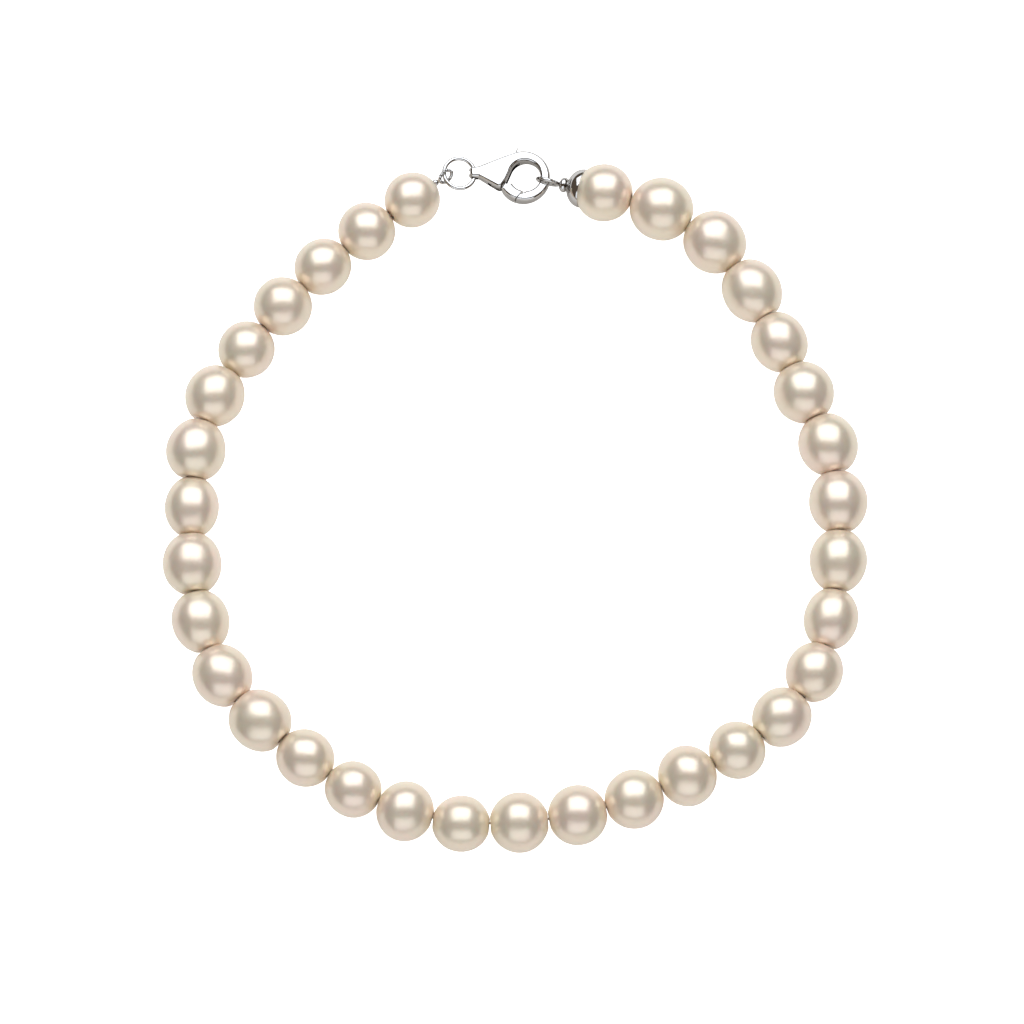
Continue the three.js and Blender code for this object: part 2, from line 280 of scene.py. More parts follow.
def add_bump(tree, shader, height, distance, strength):
    inputs = {"Height": height, "Distance": distance, "Strength": strength}
    bump = put(tree, "ShaderNodeBump", inputs)
    tree.links.new(bump.outputs["Normal"], shader.inputs["Normal"])


CREAM = (0.90, 0.76, 0.59, 1)
ROSE_OVERTONE = (0.91, 0.735, 0.61, 1)
GREEN_OVERTONE = (0.87, 0.77, 0.59, 1)
GROWTH_SPOT = (0.55, 0.40, 0.26, 1)
BUFFED_SILVER = (0.68, 0.67, 0.66, 1)
HANDLED_SILVER = (0.60, 0.59, 0.575, 1)
# Painted shade: the grey laid on the silver's upright walls.
WALL_PAINTED_SHADE = (0.36, 0.335, 0.31, 1)
SILK_CREAM = (0.80, 0.66, 0.46, 1)
SILK_ORANGE = (0.62, 0.40, 0.22, 1)
SILK_OLIVE = (0.70, 0.58, 0.38, 1)


def make_nacre():
    material, tree, shader = new_material("cream nacre")
    place = object_place(tree)
    tone = use_group(
        tree,
        OVERTONE,
        {
            "Place": place,
            "Body": CREAM,
            "Rose": ROSE_OVERTONE,
            "Green": GREEN_OVERTONE,
            "Drift": 230.0,
            "Amount": 0.7,
        },
    )
    # A few faint growth spots, darker and warmer than the nacre round them.
    cells = put(tree, "ShaderNodeTexVoronoi", {"Vector": place, "Scale": 190.0})
    spot = ranged(tree, cells.outputs["Distance"], 0.02, 0.09, 0.22, 0.0)
    colour = mixed(tree, spot, tone.outputs["Color"], GROWTH_SPOT)
    tree.links.new(colour, shader.inputs["Base Color"])
    grain = use_group(tree, GRAIN, {"Place": place, "Coarse": 700.0, "Fine": 5000.0})
    pitted = maths(tree, "SUBTRACT", grain.outputs["Height"], spot)
    add_bump(tree, shader, pitted, 0.00002, 0.35)
    rough = ranged(tree, grain.outputs["Height"], 0.3, 0.7, 0.32, 0.38, "LINEAR")
    tree.links.new(rough, shader.inputs["Roughness"])
    set_plain(
        shader,
        {
            "Metallic": 0.45,
            "Specular IOR Level": 0.9,
            "Coat Weight": 0.6,
            "Coat Roughness": 0.25,
            "Subsurface Weight": 0.15,
            "Subsurface Scale": 0.0008,
        },
    )
    return material


def make_silver():
    material, tree, shader = new_material("polished silver")
    place = object_place(tree)
    lines = use_group(tree, HAIRLINES, {"Place": place})
    grain = use_group(tree, GRAIN, {"Place": place, "Coarse": 900.0, "Fine": 6000.0})
    rough = maths(tree, "MULTIPLY_ADD", lines.outputs["Mask"], 0.06, 0.07)
    tree.links.new(rough, shader.inputs["Roughness"])
    bright = mixed(tree, grain.outputs["Height"], BUFFED_SILVER, HANDLED_SILVER)
    # The upper and under faces keep the bright buffed silver. The walls between them get painted
    # shade: a grey that stands in for the dark surroundings they reflect.
    facing = put(tree, "ShaderNodeTexCoord").outputs["Normal"]
    upward = put(tree, "ShaderNodeSeparateXYZ", {0: facing}).outputs["Z"]
    clear_of_painted_shade = ranged(tree, maths(tree, "ABSOLUTE", upward), 0.15, 0.85)
    # Painted shade on the walls, bright silver on the level faces.
    tree.links.new(mixed(tree, clear_of_painted_shade, WALL_PAINTED_SHADE, bright), shader.inputs["Base Color"])
    add_bump(tree, shader, grain.outputs["Height"], 0.00001, 0.3)
    set_plain(shader, {"Metallic": 1.0})
    return material


def make_silk():
    material, tree, shader = new_material("silk thread")
    place = object_place(tree)
    tone = use_group(
        tree,
        OVERTONE,
        {
            "Place": place,
            "Body": SILK_CREAM,
            "Rose": SILK_ORANGE,
            "Green": SILK_OLIVE,
            "Drift": 900.0,
            "Amount": 0.6,
        },
    )
    tree.links.new(tone.outputs["Color"], shader.inputs["Base Color"])
    grain = use_group(tree, GRAIN, {"Place": place, "Coarse": 8000.0, "Fine": 30000.0})
    add_bump(tree, shader, grain.outputs["Height"], 0.00002, 0.5)
    set_plain(shader, {"Roughness": 0.62, "Sheen Weight": 0.4, "Sheen Roughness": 0.4})
    return material


NACRE = make_nacre()
SILVER = make_silver()
SILK = make_silk()

# ---------------------------------------------------------------- mesh helpers


def mesh_from(points, faces, name="piece"):
    mesh = bpy.data.meshes.new(name)
    mesh.from_pydata([tuple(p) for p in points], [], faces)
    mesh.update()
    return mesh


def lofted(rings, closed=False):
    """Skins a row of equal rings of points, and closes its ends unless the row joins itself."""
    size = len(rings[0])
    points = [p for ring in rings for p in ring]
    faces = []
    count = len(rings)
    for i in range(count if closed else count - 1):
        here, after = i * size, ((i + 1) % count) * size
        for j in range(size):
            k = (j + 1) % size
            faces.append((here + j, here + k, after + k, after + j))
    if not closed:
        faces.append(tuple(range(size)))
        faces.append(tuple(range((count - 1) * size, count * size)))
    return tidied(mesh_from(points, faces))


def tidied(mesh, distance=1e-5, sliver=None):
    """Merges doubles, drops edges shorter than a sliver, and turns every face outwards."""
    shape = bmesh.new()
    shape.from_mesh(mesh)
    bmesh.ops.remove_doubles(shape, verts=shape.verts, dist=distance)
    if sliver:
        bmesh.ops.dissolve_degenerate(shape, edges=shape.edges, dist=sliver)
    bmesh.ops.recalc_face_normals(shape, faces=shape.faces)
    shape.to_mesh(mesh)
    shape.free()
    return mesh


def revolved(profile, sides):
    """Turns a profile of (radius, along) about +Y. Both ends lie on the axis."""
    rings = []
    for i in range(sides):
        turn = 2 * math.pi * i / sides
        rings.append([(r * math.cos(turn), y, r * math.sin(turn)) for r, y in profile])
    size = len(profile)
    points = [p for ring in rings for p in ring]
    faces = []
    for i in range(sides):
        here, after = i * size, ((i + 1) % sides) * size
        for j in range(size - 1):
            faces.append((here + j, here + j + 1, after + j + 1, after + j))
    return tidied(mesh_from(points, faces), sliver=1e-6)


def torus(radius, wire, around, section, stretch=1.0):
    """A ring of round wire about +Z, stretched along X."""
    rings = []
    for i in range(around):
        a = 2 * math.pi * i / around
        ring = []
        for j in range(section):
            b = 2 * math.pi * j / section
            r = radius + wire * math.cos(b)
            ring.append((r * math.cos(a) * stretch, r * math.sin(a), wire * math.sin(b)))
        rings.append(ring)
    return lofted(rings, closed=True)


def box_mesh(low, high, place=Matrix()):
    corners = [(x, y, z) for x in (low[0], high[0]) for y in (low[1], high[1])
               for z in (low[2], high[2])]
    faces = [(0, 1, 3, 2), (4, 6, 7, 5), (0, 4, 5, 1), (2, 3, 7, 6), (0, 2, 6, 4), (1, 5, 7, 3)]
    return tidied(mesh_from([place @ Vector(c) for c in corners], faces))


def combined(first, second, operation):
    """One mesh from two closed ones: UNION, DIFFERENCE or INTERSECT."""
    tool = bpy.data.objects.new("tool", second)
    bpy.context.collection.objects.link(tool)
    settings = {"operation": operation, "solver": "EXACT", "object": tool}
    made = with_modifier(first, "BOOLEAN", settings)
    bpy.data.objects.remove(tool)
    return made


def softened(mesh, width, segments, angle=40):
    """Small rounded edges wherever two faces meet sharply."""
    settings = {
        "width": width,
        "segments": segments,
        "limit_method": "ANGLE",
        "angle_limit": angle * DEG,
        "use_clamp_overlap": True,
    }
    return with_modifier(mesh, "BEVEL", settings)


def finish_piece(name, mesh, place, material, node, body, sharp=42):
    """Puts a mesh in its place, smooths it between its sharp edges, and says what it is."""
    mesh.transform(place)
    mesh.polygons.foreach_set("use_smooth", [True] * len(mesh.polygons))
    mesh.set_sharp_from_angle(angle=sharp * DEG)
    mesh.materials.clear()
    mesh.materials.append(material)
    mesh.update()
    piece = bpy.data.objects.new(name, mesh)
    bpy.context.collection.objects.link(piece)
    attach(piece, body)
    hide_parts(node)


def node_points(node):
    return [v.co.copy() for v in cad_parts[node].data.vertices]


def middle(node):
    low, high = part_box(node)
    return (low + high) / 2


def heading(turn, dip):
    """A direction from its heading and its dip below the level, in degrees."""
    level = math.cos(dip * DEG)
    return Vector((level * math.cos(turn * DEG), level * math.sin(turn * DEG),
                   -math.sin(dip * DEG)))


def axes_to_place(x_axis, y_axis, z_axis, origin):
    turn = Matrix((x_axis, y_axis, z_axis)).transposed().to_4x4()
    return Matrix.Translation(origin) @ turn


# ---------------------------------------------------------------- pearls

PEARLS = 33
RING_SIDES = 72
RING_ROWS = 52

# Which way a pearl departs from round. lumps: how uneven. taper: fatter towards the next pearl.
# mark: one swelling or hollow, as (out, up, along), its spread, and its height against the radius.
# flat: the pearl's own length against its place on the thread, so that its ends are worn flat.
PLAIN = {
    "lumps": 0.028,
    "flat": 1.035,
    "taper": 0.0,
    "mark": (0.0, 1.0, 0.0),
    "spread": 0.3,
    "height": 0.0,
}
CHARACTER = {
    6: {"mark": (-0.8, 0.35, 0.1), "spread": 0.22, "height": 0.018},
    7: {"lumps": 0.035, "taper": 0.045},
    10: {"lumps": 0.05, "taper": -0.02},
    12: {"lumps": 0.06, "mark": (-0.5, 0.4, -0.7), "spread": 0.7, "height": -0.05},
    16: {"lumps": 0.04},
    21: {"lumps": 0.045},
    27: {"mark": (0.75, 0.6, 0.1), "spread": 0.16, "height": 0.02},
    30: {"mark": (0.45, 0.85, -0.1), "spread": 0.12, "height": -0.02},
    31: {"lumps": 0.04, "taper": 0.02},
}
# Pearls at the loop's two sides sit closest, with the widest flats between them.
WORN = (*range(6, 13), *range(22, 31))
WORN_FLAT = 1.11

# The two pearls at the string's ends are drilled wider, for the silk's second pass.
DRILL_RADIUS = 0.42
END_DRILL_RADIUS = 0.56

SMALLEST_WELD = 0.0001


def make_pearl_rule():
    """One pearl with its drill hole, from a flat sheet rolled up round the thread."""
    tree, source, result = new_group(
        "drilled pearl",
        "GeometryNodeTree",
        [
            ("Geometry", "NodeSocketGeometry", None),
            ("Half Width", FLOAT, 2.8),
            ("Half Height", FLOAT, 2.8),
            ("Half Length", FLOAT, 2.8),
            ("Hole Radius", FLOAT, DRILL_RADIUS),
            ("Lumps", FLOAT, 0.02),
            ("Taper", FLOAT, 0.0),
            ("Flat Ends", FLOAT, 1.0),
            ("Mark Towards", VECTOR, None),
            ("Mark Spread", FLOAT, 0.3),
            ("Mark Height", FLOAT, 0.0),
            ("Seed", FLOAT, 0.0),
            ("Material", "NodeSocketMaterial", None),
        ],
        [("Geometry", "NodeSocketGeometry")],
    )
    given = source.outputs
    sheet = put(
        tree,
        "GeometryNodeMeshGrid",
        {"Size X": 1.0, "Size Y": 1.0, "Vertices X": RING_SIDES + 1, "Vertices Y": RING_ROWS},
    )
    flat = put(
        tree,
        "ShaderNodeSeparateXYZ",
        {0: put(tree, "GeometryNodeInputPosition").outputs[0]},
    )
    # Round the drill hole, then from one end to the other; the last row goes back down the hole.
    turn = maths(tree, "MULTIPLY", maths(tree, "ADD", flat.outputs[0], 0.5), 2 * math.pi)
    row = maths(tree, "ADD", flat.outputs[1], 0.5)
    row = maths(tree, "ROUND", maths(tree, "MULTIPLY", row, RING_ROWS - 1.0))
    share = maths(tree, "DIVIDE", row, RING_ROWS - 2.0)
    back = maths(tree, "GREATER_THAN", row, RING_ROWS - 1.5)
    share = maths(tree, "MULTIPLY", share, maths(tree, "SUBTRACT", 1.0, back))
    rim = maths(tree, "DIVIDE", given["Hole Radius"], given["Half Width"])
    rim = maths(tree, "ARCSINE", rim)
    sweep = maths(tree, "SUBTRACT", math.pi, maths(tree, "MULTIPLY", rim, 2.0))
    tilt = maths(tree, "MULTIPLY_ADD", share, sweep, rim)
    ring = maths(tree, "SINE", tilt)
    along = maths(tree, "COSINE", tilt)
    out = maths(tree, "MULTIPLY", ring, maths(tree, "COSINE", turn))
    up = maths(tree, "MULTIPLY", ring, maths(tree, "SINE", turn))
    unit = put(tree, "ShaderNodeCombineXYZ", {0: out, 1: up, 2: along}).outputs[0]
    noise = put(
        tree,
        "ShaderNodeTexNoise",
        {"Vector": unit, "W": given["Seed"], "Scale": 0.95, "Detail": 1.0},
        noise_dimensions="4D",
    )
    lump = maths(tree, "MULTIPLY", maths(tree, "SUBTRACT", noise.outputs["Fac"], 0.5), 2.0)
    lump = maths(tree, "MULTIPLY", lump, given["Lumps"])
    lump = maths(tree, "MULTIPLY", lump, maths(tree, "MULTIPLY", ring, ring))
    towards = vectors(tree, "NORMALIZE", given["Mark Towards"])
    apart = maths(tree, "SUBTRACT", 1.0, vectors(tree, "DOT_PRODUCT", unit, towards))
    spread = maths(tree, "MULTIPLY", given["Mark Spread"], given["Mark Spread"])
    fade = maths(tree, "DIVIDE", maths(tree, "MULTIPLY", apart, -2.0), spread)
    fade = maths(tree, "EXPONENT", fade)
    mark = maths(tree, "MULTIPLY", fade, given["Mark Height"])
    swell = maths(tree, "ADD", maths(tree, "ADD", lump, mark), 1.0)
    egg = maths(tree, "MULTIPLY_ADD", along, given["Taper"], 1.0)
    sizes = put(
        tree,
        "ShaderNodeCombineXYZ",
        {
            0: maths(tree, "MULTIPLY", given["Half Width"], egg),
            1: maths(tree, "MULTIPLY", given["Half Height"], egg),
            2: given["Half Length"],
        },
    ).outputs[0]
    # Flat ends: the pearl is longer than its place on the thread and is worn flat at the hole.
    longer = maths(tree, "MULTIPLY", along, given["Flat Ends"])
    longer = maths(tree, "MAXIMUM", maths(tree, "MINIMUM", longer, 1.0), -1.0)
    unit = put(tree, "ShaderNodeCombineXYZ", {0: out, 1: up, 2: longer}).outputs[0]
    shape = vectors(tree, "MULTIPLY", unit, sizes)
    shape = vectors(tree, "SCALE", shape, scale=swell)
    placed = put(
        tree,
        "GeometryNodeSetPosition",
        {"Geometry": sheet.outputs["Mesh"], "Position": shape},
    )
    welded = put(
        tree,
        "GeometryNodeMergeByDistance",
        {"Geometry": placed.outputs[0], "Distance": 0.0005},
    )
    end_in_material(tree, welded.outputs[0], given["Material"], result)
    return tree


def pearl_name(number):
    return f"pearl_{number:02d}"


def make_pearls():
    rule = make_pearl_rule()
    places = [middle(pearl_name(i + 1)) for i in range(PEARLS)]
    route = [middle("crimp_bead"), *places, middle("end_cap")]
    for i, place in enumerate(places):
        along = (route[i + 2] - route[i]).normalized()
        out = along.cross(Vector((0, 0, 1))).normalized()
        up = out.cross(along) * -1
        offsets = [p - place for p in node_points(pearl_name(i + 1))]
        character = {**PLAIN, **CHARACTER.get(i + 1, {})}
        if i + 1 in WORN:
            character["flat"] = WORN_FLAT
        at_end = i in (0, PEARLS - 1)
        mesh = grown(
            rule,
            bpy.data.meshes.new("seed"),
            {
                "Half Width": max(abs(o.dot(out)) for o in offsets) / MM,
                "Half Height": max(abs(o.dot(up)) for o in offsets) / MM,
                "Half Length": max(abs(o.dot(along)) for o in offsets) / MM,
                "Hole Radius": END_DRILL_RADIUS if at_end else DRILL_RADIUS,
                "Lumps": character["lumps"],
                "Taper": character["taper"],
                "Flat Ends": character["flat"],
                "Mark Towards": character["mark"],
                "Mark Spread": character["spread"],
                "Mark Height": character["height"],
                "Seed": 3.7 * (i + 1),
                "Material": NACRE,
            },
        )
        mesh = tidied(mesh, SMALLEST_WELD)
        turned = axes_to_place(out, up, along, place) @ Matrix.Scale(MM, 4)
        if turned.determinant() < 0:
            mesh.flip_normals()
        finish_piece(f"bead_{i + 1:02d}", mesh, turned, NACRE, pearl_name(i + 1),
                     "bracelet", sharp=55)


make_pearls()

# ---------------------------------------------------------------- wound strands


def make_winding_rule():
    """Strands laid round a path as a helix, each a round wire."""
    tree, source, result = new_group(
        "wound strands",
        "GeometryNodeTree",
        [
            ("Geometry", "NodeSocketGeometry", None),
            ("Strands", "NodeSocketInt", 1),
            ("Lay Radius", FLOAT, 0.1),
            ("Wire Radius", FLOAT, 0.05),
            ("Turns per Length", FLOAT, 5.0),
            ("Step", FLOAT, 0.05),
            ("Core Radius", FLOAT, 0.05),
            ("Material", "NodeSocketMaterial", None),
        ],
        [("Geometry", "NodeSocketGeometry")],
    )
    given = source.outputs
    path = put(tree, "GeometryNodeMeshToCurve", {"Mesh": given["Geometry"]}).outputs[0]
    path = put(
        tree,
        "GeometryNodeResampleCurve",
        {"Curve": path, "Length": given["Step"]},
        mode="LENGTH",
    ).outputs[0]
    copies = put(
        tree,
        "GeometryNodeDuplicateElements",
        {"Geometry": path, "Amount": given["Strands"]},
        domain="SPLINE",
    )
    share = maths(tree, "DIVIDE", copies.outputs["Duplicate Index"], given["Strands"])
    length = put(tree, "GeometryNodeSplineParameter").outputs["Length"]
    turns = maths(tree, "MULTIPLY_ADD", length, given["Turns per Length"], share)
    angle = maths(tree, "MULTIPLY", turns, 2 * math.pi)
    normal = put(tree, "GeometryNodeInputNormal").outputs[0]
    tangent = put(tree, "GeometryNodeInputTangent").outputs[0]
    side = vectors(tree, "CROSS_PRODUCT", tangent, normal)
    across = maths(tree, "MULTIPLY", maths(tree, "COSINE", angle), given["Lay Radius"])
    beside = maths(tree, "MULTIPLY", maths(tree, "SINE", angle), given["Lay Radius"])
    offset = vectors(
        tree,
        "ADD",
        vectors(tree, "SCALE", normal, scale=across),
        vectors(tree, "SCALE", side, scale=beside),
    )
    laid = put(
        tree,
        "GeometryNodeSetPosition",
        {"Geometry": copies.outputs["Geometry"], "Offset": offset},
    ).outputs[0]
    tubes = []
    for curve, label, sides in ((laid, "Wire Radius", 7), (path, "Core Radius", 8)):
        section = put(
            tree,
            "GeometryNodeCurvePrimitiveCircle",
            {"Radius": given[label], "Resolution": sides},
        ).outputs[0]
        tubes.append(
            put(
                tree,
                "GeometryNodeCurveToMesh",
                {"Curve": curve, "Profile Curve": section, "Fill Caps": True},
            ).outputs[0]
        )
    joined = put(tree, "GeometryNodeJoinGeometry")
    for tube in tubes:
        tree.links.new(tube, joined.inputs[0])
    end_in_material(tree, joined.outputs[0], given["Material"], result)
    return tree


WINDING = make_winding_rule()


def path_mesh(points, closed):
    """A line of edges for strands to follow."""
    mesh = bpy.data.meshes.new("path")
    count = len(points)
    edges = [(i, i + 1) for i in range(count - 1)]
    if closed:
        edges.append((count - 1, 0))
    mesh.from_pydata([tuple(p) for p in points], edges, [])
    return mesh


def wound(points, closed, **sizes):
    """Strands along a line of points, with the tree's input names spelt with underscores."""
    labels = {key.replace("_", " "): value for key, value in sizes.items()}
    return tidied(grown(WINDING, path_mesh(points, closed), labels), distance=1e-6)


# The way the end cap points from the last pearl, and how far the silk runs on at each end.
CAP_AXIS = heading(164.4, 13.3)
SILK_INTO_WIRE_LOOP = 0.6 * MM
SILK_INTO_CAP = 3.0 * MM


def make_thread():
    bead = middle("crimp_bead")
    to_wire_loop = (middle("wire_loop") - bead).normalized()
    route = [bead + to_wire_loop * SILK_INTO_WIRE_LOOP, bead]
    route += [middle(pearl_name(i + 1)) for i in range(PEARLS)]
    route.append(route[-1] + CAP_AXIS * SILK_INTO_CAP)
    points = [p / MM for p in route]
    mesh = wound(
        points,
        False,
        Strands=3,
        Lay_Radius=0.066,
        Wire_Radius=0.068,
        Turns_per_Length=1.1,
        Step=0.12,
        Core_Radius=0.05,
        Material=SILK,
    )
    finish_piece("silk_thread", mesh, Matrix.Scale(MM, 4), SILK, "thread", "bracelet")


def main_axes(node):
    """A node's long, middle and short directions, from its own points."""
    points = np.array(node_points(node))
    _, _, rows = np.linalg.svd(points - points.mean(0), full_matrices=False)
    long_axis, mid_axis = Vector(rows[0]), Vector(rows[1])
    return long_axis, mid_axis, long_axis.cross(mid_axis)


LOOP_HALF_LENGTH = 0.775
LOOP_HALF_WIDTH = 0.62
LOOP_CORNERS = 64
LOOP_ROUND = 4.397
LOOP_TURNS = 33


def make_wire_loop():
    """Fine wire wound on a core and bent round: a whole number of turns, so that it joins up."""
    points = []
    for i in range(LOOP_CORNERS):
        turn = 2 * math.pi * i / LOOP_CORNERS
        points.append((LOOP_HALF_LENGTH * math.cos(turn), LOOP_HALF_WIDTH * math.sin(turn), 0))
    mesh = wound(
        points,
        True,
        Strands=1,
        Lay_Radius=0.125,
        Wire_Radius=0.07,
        Turns_per_Length=LOOP_TURNS / LOOP_ROUND,
        Step=0.014,
        Core_Radius=0.12,
        Material=SILVER,
    )
    place = axes_to_place(*main_axes("wire_loop"), middle("wire_loop")) @ Matrix.Scale(MM, 4)
    finish_piece("wound_wire", mesh, place, SILVER, "wire_loop", "bracelet")


make_thread()
make_wire_loop()

# ---------------------------------------------------------------- ring and beads

UP = Vector((0, 0, 1))

JUMP_RING_WAY = heading(183.7, -9)
JUMP_RING_RADIUS = 1.54
JUMP_RING_WIRE = 0.215
JUMP_RING_CUT_AT = 68
JUMP_RING_CUT = 0.024

SMALL_BEAD_RADIUS = 0.34
SMALL_BEAD_HOLE = 0.2

# The bell's dome and hollow are half ellipses, as (across, along), about one centre on its axis.
BELL_RIM_AT = 2.25
BELL_HOLLOW = (1.73, 0.95)
BELL_DOME = (1.93, 1.6)
BELL_DOME_ENDS_AT = 74
BELL_LIP = 0.1
NECK_BEAD_AT = 4.2
NECK_BEAD = (0.76, 0.5)
NECK_BEAD_STARTS_AT = -50
EYE_AT = 5.9
EYE_RADIUS = 1.04
EYE_WIRE = 0.2
EYE_STRETCH = 1.2
EYE_TURN = 82


def make_jump_ring():
    side = UP.cross(JUMP_RING_WAY).normalized()
    upright = JUMP_RING_WAY.cross(side)
    place = axes_to_place(JUMP_RING_WAY, side, upright, middle("jump_ring"))
    mesh = torus(JUMP_RING_RADIUS, JUMP_RING_WIRE, 120, 24)
    # The ring's cut, where it was opened and closed again.
    cut_at = Matrix.Rotation(JUMP_RING_CUT_AT * DEG, 4, "Z")
    saw = box_mesh((1.2, -JUMP_RING_CUT / 2, -0.4), (1.9, JUMP_RING_CUT / 2, 0.4), cut_at)
    mesh = combined(mesh, saw, "DIFFERENCE")
    finish_piece("soldered_ring", mesh, place @ Matrix.Scale(MM, 4), SILVER, "jump_ring",
                 "bracelet")


def make_crimp_bead():
    rows = 20
    start = math.asin(SMALL_BEAD_HOLE / SMALL_BEAD_RADIUS)
    profile = []
    for i in range(rows + 1):
        turn = start + (math.pi - 2 * start) * i / rows
        profile.append((SMALL_BEAD_RADIUS * math.sin(turn), SMALL_BEAD_RADIUS * math.cos(turn)))
    profile.append(profile[0])
    mesh = revolved(profile, 40)
    axis = (middle(pearl_name(1)) - middle("crimp_bead")).normalized()
    turned = axis.to_track_quat("Y", "Z").to_matrix().to_4x4()
    place = Matrix.Translation(middle("crimp_bead")) @ turned @ Matrix.Scale(MM, 4)
    finish_piece("small_bead", mesh, place, SILVER, "crimp_bead", "bracelet")


def arc_points(count, centre, radius, start, end):
    """Points on an arc of (across, along), angles in degrees from +across."""
    points = []
    for i in range(count + 1):
        turn = (start + (end - start) * i / count) * DEG
        points.append((centre[0] + radius[0] * math.cos(turn),
                       centre[1] + radius[1] * math.sin(turn)))
    return points


def make_end_cap():
    """Bell, neck bead and eye, soldered into one, with +Y pointing away from the last pearl."""
    centre = (0, BELL_RIM_AT)
    hollow = arc_points(18, centre, BELL_HOLLOW, 90, 0)
    lip_at = (BELL_HOLLOW[0] + BELL_LIP, BELL_RIM_AT)
    lip = arc_points(8, lip_at, (BELL_LIP, BELL_LIP), 180, 360)
    dome = arc_points(28, centre, BELL_DOME, 4, BELL_DOME_ENDS_AT)
    bead = arc_points(28, (0, NECK_BEAD_AT), NECK_BEAD, NECK_BEAD_STARTS_AT, 90)
    profile = hollow + lip + dome + bead
    profile[0] = (0.0, profile[0][1])
    profile[-1] = (0.0, profile[-1][1])
    bell = revolved(profile, 72)
    eye = torus(EYE_RADIUS, EYE_WIRE, 64, 18, stretch=EYE_STRETCH)
    eye.transform(Matrix.Translation((0, EYE_AT, 0)) @ Matrix.Rotation(EYE_TURN * DEG, 4, "Y"))
    mesh = combined(bell, eye, "UNION")
    side = CAP_AXIS.cross(UP).normalized()
    upright = side.cross(CAP_AXIS)
    place = axes_to_place(side, CAP_AXIS, upright, middle(pearl_name(PEARLS)))
    finish_piece("bell_cap", mesh, place @ Matrix.Scale(MM, 4), SILVER, "end_cap", "bracelet")


make_jump_ring()
make_crimp_bead()
make_end_cap()

# ---------------------------------------------------------------- trigger clasp

# The clasp lies on its side with the hook's centre at the origin and its neck towards -X.
CLASP_PITCH = 3
PIVOT = Vector((-2.8, -0.3, 0))
HOOK_RADIUS = 2.62
HOLE_RADIUS = 1.5
HOLE_SHIFT = 0.15
EDGE = 0.3
NECK_AT = -4.92
NECK_HALF_THICKNESS = 0.66
NECK_HOLE_RADIUS = 0.38
SLOT_HALF_WIDTH = 0.45
BLADE_HALF_WIDTH = 0.35
BOSS_RADIUS = 0.58
RIVET_HOLE_RADIUS = 0.34
RIVET_RADIUS = 0.26
RIVET_HALF_LENGTH = 0.92
RIVET_EDGE = 0.07
JOINT = Vector((-0.42, -1.98, 0))
JOINT_SLANT = 50
JOINT_GAP = 0.12

CLASP_TURN = Matrix.Rotation(-CLASP_PITCH * DEG, 4, "Y")
CLASP_PLACE = (
    Matrix.Translation(middle("clasp_pin") - (CLASP_TURN @ PIVOT) * MM)
    @ CLASP_TURN
    @ Matrix.Scale(MM, 4)
)


def smooth_step(value, low, high):
    share = min(max((value - low) / (high - low), 0), 1)
    return share * share * (3 - 2 * share)


def half_thickness(x):
    """Thin at the neck, full over the body, thin again at the hook's far side."""
    if x < NECK_AT:
        past = min(NECK_AT - x, 0.6)
        return math.sqrt(NECK_HALF_THICKNESS**2 - past**2)
    body = NECK_HALF_THICKNESS + 0.39 * smooth_step(x, -5.1, -1.9)
    return body - 0.5 * smooth_step(x, -2.0, 3.2)


def spaced(points, count):
    """A polyline through the same points with evenly spaced corners."""
    flat = [Vector(p) for p in points]
    lengths = [0.0]
    for a, b in zip(flat, flat[1:]):
        lengths.append(lengths[-1] + (b - a).length)
    result = []
    j = 0
    for i in range(count + 1):
        wanted = lengths[-1] * i / count
        while j < len(flat) - 2 and lengths[j + 1] < wanted:
            j += 1
        span = lengths[j + 1] - lengths[j]
        result.append(flat[j].lerp(flat[j + 1], (wanted - lengths[j]) / span if span else 0))
    return result


def curved(start, control, end, count=10):
    points = []
    for i in range(count + 1):
        t = i / count
        points.append(Vector(start) * (1 - t) ** 2 + Vector(control) * 2 * t * (1 - t)
                      + Vector(end) * t * t)
    return points


def inwards(side, other):
    """For each corner of one edge line, the flat direction square to it, towards the other."""
    result = []
    for i, point in enumerate(side):
        before, after = side[max(i - 1, 0)], side[min(i + 1, len(side) - 1)]
        run = (after - before).normalized()
        across = Vector((-run.y, run.x))
        if across.dot(other[i] - point) < 0:
            across = -across
        result.append(across)
    return result


def rounded_edge(at, into, arcs):
    """From the bar's side wall up and over to its flat face, as (place, share of thickness)."""
    edge = []
    for i in range(arcs + 1):
        t = 90 * DEG * i / arcs
        edge.append((at + into * EDGE * (1 - math.cos(t)), 0.3 + 0.7 * math.sin(t)))
    return edge


def bar_between(outer, inner, flats=8, arcs=7):
    """A flat bar between two edge lines, its edges rounded over and its thickness tapering."""
    from_outer, from_inner = inwards(outer, inner), inwards(inner, outer)
    rings = []
    for a, b, into_a, into_b in zip(outer, inner, from_outer, from_inner):
        top = [(a, 0.0), *rounded_edge(a, into_a, arcs)]
        left, right = top[-1][0], b + into_b * EDGE
        for i in range(1, flats):
            top.append((left.lerp(right, i / flats), 1.0))
        top += [*reversed(rounded_edge(b, into_b, arcs)), (b, 0.0)]
        ring = [(p.x, p.y, z * half_thickness(p.x)) for p, z in top]
        ring += [(p.x, p.y, -z * half_thickness(p.x)) for p, z in reversed(top[1:-1])]
        rings.append(ring)
    return lofted(rings)


def joint_place():
    """Where the hook's tip ends and the lever's arm begins, with +Y towards the tip."""
    return Matrix.Translation(JOINT) @ Matrix.Rotation(JOINT_SLANT * DEG, 4, "Z")


def drill(radius, half_length, place):
    """A plain rod to cut a round hole with."""
    ends = [(0, -half_length), (radius, -half_length), (radius, half_length), (0, half_length)]
    rod = revolved(ends, 40)
    rod.transform(place)
    return tidied(rod)


